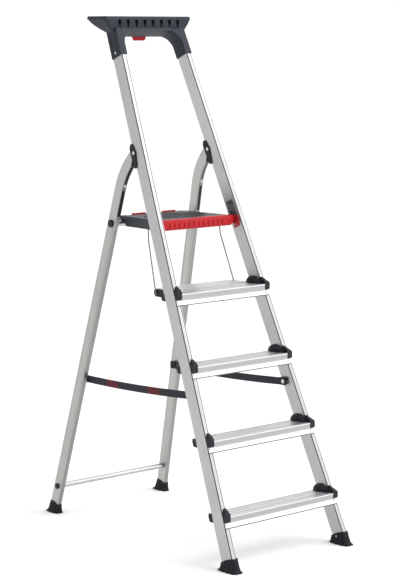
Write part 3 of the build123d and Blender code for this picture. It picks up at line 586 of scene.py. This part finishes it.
def arc_strap(side, word):
    """One strap from the stile to the leg, leaning from its front rivet's plane to the rear's."""
    steps, half, thick = 96, STRAP_HALF, STRAP_THICK
    section = ((0, -half), (0, 0), (0, half), (thick, half), (thick, 0), (thick, -half))
    line = strap_line(steps)
    loops = []
    for i, (y, z) in enumerate(line):
        before, after = line[max(0, i - 1)], line[min(steps, i + 1)]
        length = math.hypot(after[0] - before[0], after[1] - before[1])
        across = (-(after[1] - before[1]) / length, (after[0] - before[0]) / length)
        share = i / steps
        x = STRAP_X + STRAP_X_GAIN * share * share * (3 - 2 * share)
        loop = [(side * (x + u), y + v * across[0], z + v * across[1]) for u, v in section]
        loops.append(loop if side < 0 else list(reversed(loop)))
    obj = new_piece(
        f"webbing_{word}", *rings(loops), WEBBING_CLOTH, None, "webbing", smooth=False
    )
    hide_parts(f"strap_front_{word}", f"strap_rear_{word}")
    y, z = STRAP_FOLD
    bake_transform(obj)


for side, word in SIDES:
    arc_strap(side, word)


# The fans over the tread caps' domes.
FAN_RIBS = 11
FAN_BULGE = 0.0011  # how far a rib stands out
FAN_DOME = (0.0236, 0.0342, 0.0228)  # reach inwards, half length and height
FAN_CENTRE = (0.0203, 0.036, 0.0004)  # in from the outer edge, behind the front, above the top
FAN_CUT = 0.287  # how steeply the cap's inner face goes inwards
FAN_CUT_START = 0.025  # how far in front of the stile's front face it starts
FAN_SKIN = 0.0005  # how far past that face the fan may go
TOP_FAN_GAP = math.radians(48)  # left out at the back of tread 4, where the rear deck folds


def fan(number, height, side, word):
    """Radial ribs over a cap's dome."""
    columns, rows = 88, 12
    reach, length, rise = FAN_DOME
    inset, back, lift = FAN_CENTRE
    face = -STILE_FOOT + height * math.tan(STILE_LEAN)
    edge = STILE_EDGE - STILE_TAPER * height / math.cos(STILE_LEAN)
    x0, y0, z0 = edge - inset, face + back, height + lift
    first = TOP_FAN_GAP if number == len(TREAD_TOPS) else 0.0
    vertices, faces = [], []
    for i in range(columns + 1):
        turn = first + (math.pi - first) * i / columns
        bulge = FAN_BULGE * (0.5 + 0.5 * math.cos(2 * FAN_RIBS * turn))
        for j in range(rows + 1):
            swing = math.pi / 2 * j / rows
            out = bulge * math.sin(swing)
            x = x0 - (reach + out) * math.cos(swing)
            y = y0 + (length + out) * math.cos(turn) * math.sin(swing)
            z = z0 + (rise + out) * math.sin(turn) * math.sin(swing)
            cut = x0 - (y - face + FAN_CUT_START) * FAN_CUT
            vertices.append((side * max(x, cut - FAN_SKIN), y, z))
    for i in range(columns):
        for j in range(rows):
            a = i * (rows + 1) + j
            quad = (a, a + 1, a + rows + 2, a + rows + 1)
            faces.append(quad if side > 0 else tuple(reversed(quad)))
    name = f"tread_{number}_fan_{word}"
    new_piece(name, vertices, faces, CAP_PLASTIC, "front_frame", "black_plastic")


for number, height in enumerate(TREAD_TOPS, start=1):
    for side, word in SIDES:
        fan(number, height, side, word)


# A rivet head's profile: shares of its radius, and of its thickness above the surface.
HEAD_PROFILE = ((1.0, -0.3), (1.0, 0.35), (0.86, 0.72), (0.55, 0.93), (0.15, 1.0))


def stud(name, centre, direction, radius, thick, material, body, slot):
    """A domed head, for a rivet or for a pale pad that stands for a painted highlight."""
    count = 24
    axis = Vector(direction).normalized()
    u = axis.orthogonal().normalized()
    v = axis.cross(u)
    loops = []
    for share, lift in HEAD_PROFILE:
        loop = []
        for k in range(count):
            turn = 2 * math.pi * k / count
            point = Vector(centre) + axis * thick * lift
            point += (u * math.cos(turn) + v * math.sin(turn)) * radius * share
            loop.append(tuple(point))
        loops.append(loop)
    new_piece(name, *rings(loops), material, body, slot)


for side, word in SIDES:
    # pale studs at the top of the leg strips by the bend: painted highlights, standing for the
    # light the strips catch there
    stud(
        f"leg_highlight_stud_{word}",
        centre=(side * 0.1688, 0.1585, 1.1745),
        direction=(0, -math.cos(LEG_LEAN), -math.sin(LEG_LEAN)),
        radius=0.0052,
        thick=0.0032,
        material=PAINTED_HIGHLIGHT_STUD,
        body="rear_frame",
        slot="grey_plastic",
    )
    stud(
        f"foot_rivet_{word}",
        centre=(side * 0.2296, -0.4640, 0.0255),
        direction=(-side, 0, 0.1),
        radius=0.0032,
        thick=0.0018,
        material=STEEL,
        body="front_frame",
        slot="steel",
    )


# ---------------------------------------------------------------- camera, stage and light
def make_camera():
    """The photograph's viewing angle: from the left front, looking slightly down."""
    data = bpy.data.cameras.new("camera")
    data.lens = 112.79
    data.sensor_width = 36.0
    camera = add_object("camera", data)
    camera.location = (-3.9326, -4.6623, 1.6945)
    camera.rotation_euler = (math.radians(90 - 8.15), 0, math.radians(-40.35))
    bpy.context.scene.camera = camera


def make_floor():
    size = 400.0
    corners = [(-size, -size, 0), (size, -size, 0), (size, size, 0), (-size, size, 0)]
    mesh = bpy.data.meshes.new("floor")
    mesh.from_pydata(corners, [], [(0, 1, 2, 3)])
    shade = Shade("floor_paint", FLOOR_PALE, 0.85)
    shade.bsdf.inputs["Specular IOR Level"].default_value = 0.1
    mesh.materials.append(shade.material)
    add_object("floor", mesh)


def make_world():
    """Soft surround, dimmer near the horizon: a large softbox up front on the right, a dark flag
    on the left front, and a brighter patch low behind the ladder."""
    world = bpy.data.worlds.new("studio")
    bpy.context.scene.world = world
    world.use_nodes = True
    nodes, links = world.node_tree.nodes, world.node_tree.links
    place = nodes.new("ShaderNodeTexCoord").outputs["Generated"]

    def lobe(direction, wide, tight, low, high):
        """Low away from a direction and high towards it; wide and tight are cosines."""
        dot = nodes.new("ShaderNodeVectorMath")
        dot.operation = "DOT_PRODUCT"
        dot.inputs[1].default_value = Vector(direction).normalized()
        links.new(place, dot.inputs[0])
        ramp = nodes.new("ShaderNodeMapRange")
        ramp.interpolation_type = "SMOOTHSTEP"
        set_range(ramp, wide, tight, low, high)
        links.new(dot.outputs["Value"], ramp.inputs["Value"])
        return ramp.outputs["Result"]

    def combine(operation, first, second):
        node = nodes.new("ShaderNodeMath")
        node.operation = operation
        links.new(first, node.inputs[0])
        links.new(second, node.inputs[1])
        return node.outputs[0]

    sky = lobe((0, 0, 1), -0.1, 0.9, 0.82, 1.15)
    softbox = lobe((0.64, -0.61, 0.50), 0.72, 0.93, 0.0, 1.35)
    flag = lobe((-0.74, -0.58, 0.34), 0.78, 0.96, 1.0, 0.12)
    backdrop = lobe((0.647, 0.762, 0.02), 0.90, 0.975, 0.0, 0.30)
    light = combine("ADD", combine("ADD", sky, backdrop), softbox)
    background = nodes["Background"]
    background.inputs["Color"].default_value = (1, 1, 1, 1)
    links.new(combine("MULTIPLY", light, flag), background.inputs["Strength"])


def make_key_light():
    """A broad disk high at the right front."""
    data = bpy.data.lights.new("key", "AREA")
    data.shape = "DISK"
    data.size = 3.0
    data.energy = 60
    place, target = Vector((1.6, -2.8, 4.6)), Vector((0, 0, 0.6))
    lamp = add_object("key", data)
    lamp.location = place
    lamp.rotation_euler = (target - place).to_track_quat("-Z", "Y").to_euler()


make_camera()
make_floor()
make_world()
make_key_light()
bpy.context.scene.view_settings.view_transform = "Standard"
